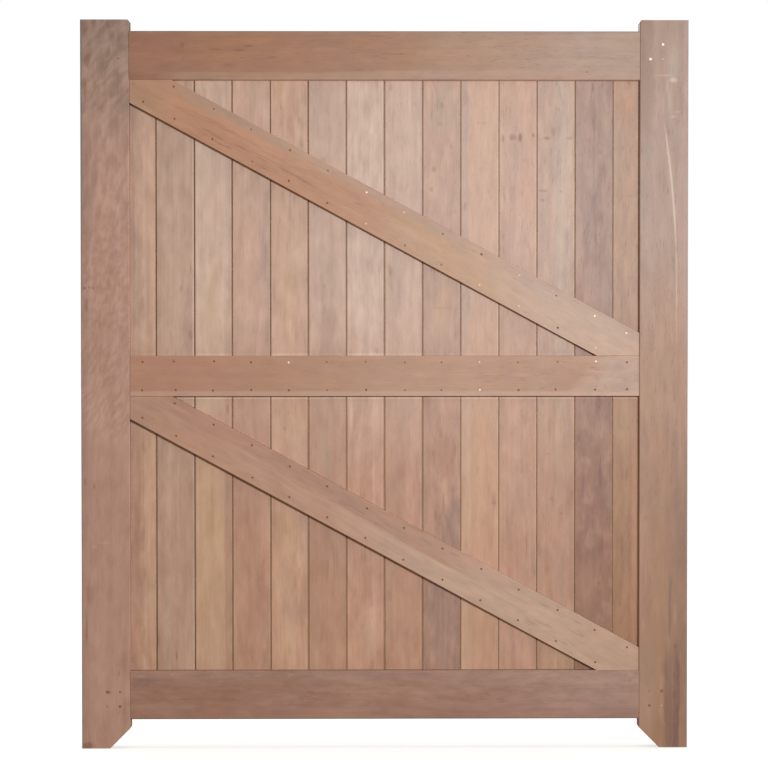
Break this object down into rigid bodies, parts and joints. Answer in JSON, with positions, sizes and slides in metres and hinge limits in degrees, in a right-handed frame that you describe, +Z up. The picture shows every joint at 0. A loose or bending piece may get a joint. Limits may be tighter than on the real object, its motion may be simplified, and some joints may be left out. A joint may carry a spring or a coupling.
{
  "type": "garden gate leaf",
  "caption": "Framed, ledged and braced wooden garden gate leaf: stiles with horns and feet, grooved rails, a middle ledge, two diagonal braces and upright matched boards.",
  "frame": {"origin": "on the outer edge face of the hanging stile, at mid-thickness, level with the foot", "axes": "+Z up, +X out of the hanging edge towards its post, -Y the braced side, +Y the boarded side"},
  "size_m": [1.5, 0.045, 1.8],
  "materials": {
    "stile_wood": "planed bare hardwood, faintly mottled figure",
    "top_rail_wood": "planed bare hardwood, fine straight grain",
    "bottom_rail_wood": "planed bare hardwood, darker, wavy grain",
    "ledge_wood": "planed bare hardwood",
    "brace_wood": "planed bare hardwood",
    "board_tan_wood": "planed bare hardwood",
    "board_grey_wood": "planed bare hardwood",
    "board_yellow_wood": "planed bare hardwood",
    "board_orange_wood": "planed bare hardwood",
    "board_pink_wood": "planed bare hardwood",
    "board_plum_wood": "planed bare hardwood",
    "fixing_metal": "plain dulled steel"
  },
  "bodies": {
    "root": {"hanging_stile": "stile_wood", "closing_stile": "stile_wood", "top_rail": "top_rail_wood", "bottom_rail": "bottom_rail_wood", "middle_ledge": "ledge_wood", "upper_brace": "brace_wood", "lower_brace": "brace_wood", "board_01": "board_tan_wood", "board_02": "board_grey_wood", "board_03": "board_yellow_wood", "board_04": "board_tan_wood", "board_05": "board_orange_wood", "board_06": "board_grey_wood", "board_07": "board_pink_wood", "board_08": "board_pink_wood", "board_09": "board_plum_wood", "board_10": "board_orange_wood", "board_11": "board_pink_wood", "board_12": "board_grey_wood", "board_13": "board_plum_wood", "board_14": "board_tan_wood", "pins_top_hanging": "fixing_metal", "pins_bottom_hanging": "fixing_metal", "pins_top_closing": "fixing_metal", "pins_bottom_closing": "fixing_metal"}
  },
  "joints": []
}
